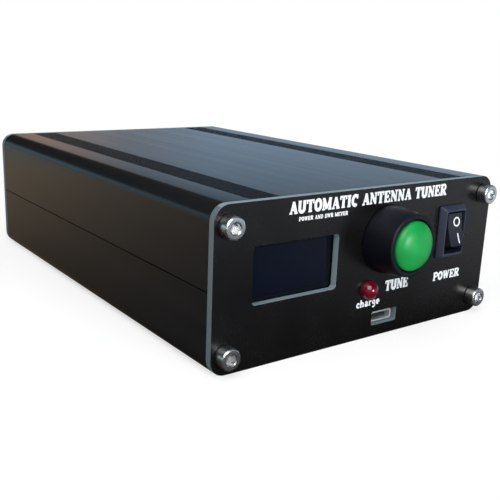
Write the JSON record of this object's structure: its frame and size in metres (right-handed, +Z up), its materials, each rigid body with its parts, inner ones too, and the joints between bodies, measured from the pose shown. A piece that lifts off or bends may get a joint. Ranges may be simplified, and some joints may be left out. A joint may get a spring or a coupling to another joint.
{
  "type": "antenna tuner",
  "caption": "Compact automatic antenna tuner in a split extruded case, with a display window, tune button, power rocker, charge socket and rear coaxial sockets.",
  "frame": {"origin": "middle of the case's underside", "axes": "+Z up, +X to the right seen from the front, the front plate faces -Y"},
  "size_m": [0.097, 0.1695, 0.041],
  "materials": {
    "anodised": "black anodised, brushed lengthwise",
    "plate": "black solder mask on a laminate plate, with white print",
    "steel": "turned stainless steel",
    "nickel": "nickel plated",
    "brass": "bare brass",
    "gloss_black": "glossy black moulding",
    "matt_black": "fine-grained black moulding",
    "green_lens": "glossy green moulding",
    "red_lens": "clear red epoxy",
    "display_glass": "dark display glass",
    "board": "printed circuit board",
    "relay": "blue relay case",
    "core": "coated powdered-iron core",
    "ferrite": "sintered ferrite",
    "copper": "enamelled copper wire",
    "foil": "battery foil pouch",
    "insulator": "white insulator"
  },
  "bodies": {
    "case": {"lower_shell": "anodised", "upper_shell": "anodised", "front_panel": "plate", "rear_panel": "plate", "front_screw_1": "steel", "front_screw_2": "steel", "front_screw_3": "steel", "front_screw_4": "steel", "rear_screw_1": "steel", "rear_screw_2": "steel", "rear_screw_3": "steel", "rear_screw_4": "steel", "display_glass": "display_glass", "display_board": "board", "tune_button_housing": "gloss_black", "tune_button_spring": "steel", "tune_button_nut": "nickel", "rocker_housing": "matt_black", "rocker_terminal_1": "brass", "rocker_terminal_2": "brass", "charge_led": "red_lens", "charger_board": "board", "charge_socket_shell": "nickel", "charge_socket_tongue": "matt_black", "main_board": "board", "controller_chip": "gloss_black", "relay_1": "relay", "relay_2": "relay", "relay_3": "relay", "relay_4": "relay", "relay_5": "relay", "relay_6": "relay", "relay_7": "relay", "relay_8": "relay", "relay_9": "relay", "relay_10": "relay", "relay_11": "relay", "relay_12": "relay", "relay_13": "relay", "relay_14": "relay", "toroid_inductor_1": "core", "toroid_inductor_2": "core", "toroid_inductor_3": "core", "toroid_inductor_4": "core", "air_coil_1": "copper", "air_coil_2": "copper", "air_coil_3": "copper", "bridge_transformer_core": "ferrite", "battery_cell_1": "foil", "battery_cell_2": "foil", "radio_socket_body": "nickel", "radio_socket_insulator": "insulator", "radio_socket_contact": "brass", "antenna_socket_body": "nickel", "antenna_socket_insulator": "insulator", "antenna_socket_contact": "brass", "ground_stud": "brass"},
    "tune_button": {"tune_button_cap": "green_lens"},
    "power_rocker": {"rocker_actuator": "matt_black"},
    "wing_nut": {"ground_wing_nut": "brass"}
  },
  "joints": [
    {"name": "tune_press", "type": "slide", "parent": "case", "child": "tune_button", "axis": [0, 1, 0], "range_m": [0, 0.0025], "stiffness_N_per_m": 400, "springref_m": -0.002, "deforming": ["tune_button_spring"]},
    {"name": "power_rock", "type": "hinge", "parent": "case", "child": "power_rocker", "pos_m": [0.0316, -0.06975, 0.0262], "axis": [1, 0, 0], "range_deg": [0, 28]},
    {"name": "wing_nut_turn", "type": "hinge", "parent": "case", "child": "wing_nut", "pos_m": [0, 0.077, 0.014], "axis": [0, 1, 0], "continuous": true}
  ]
}
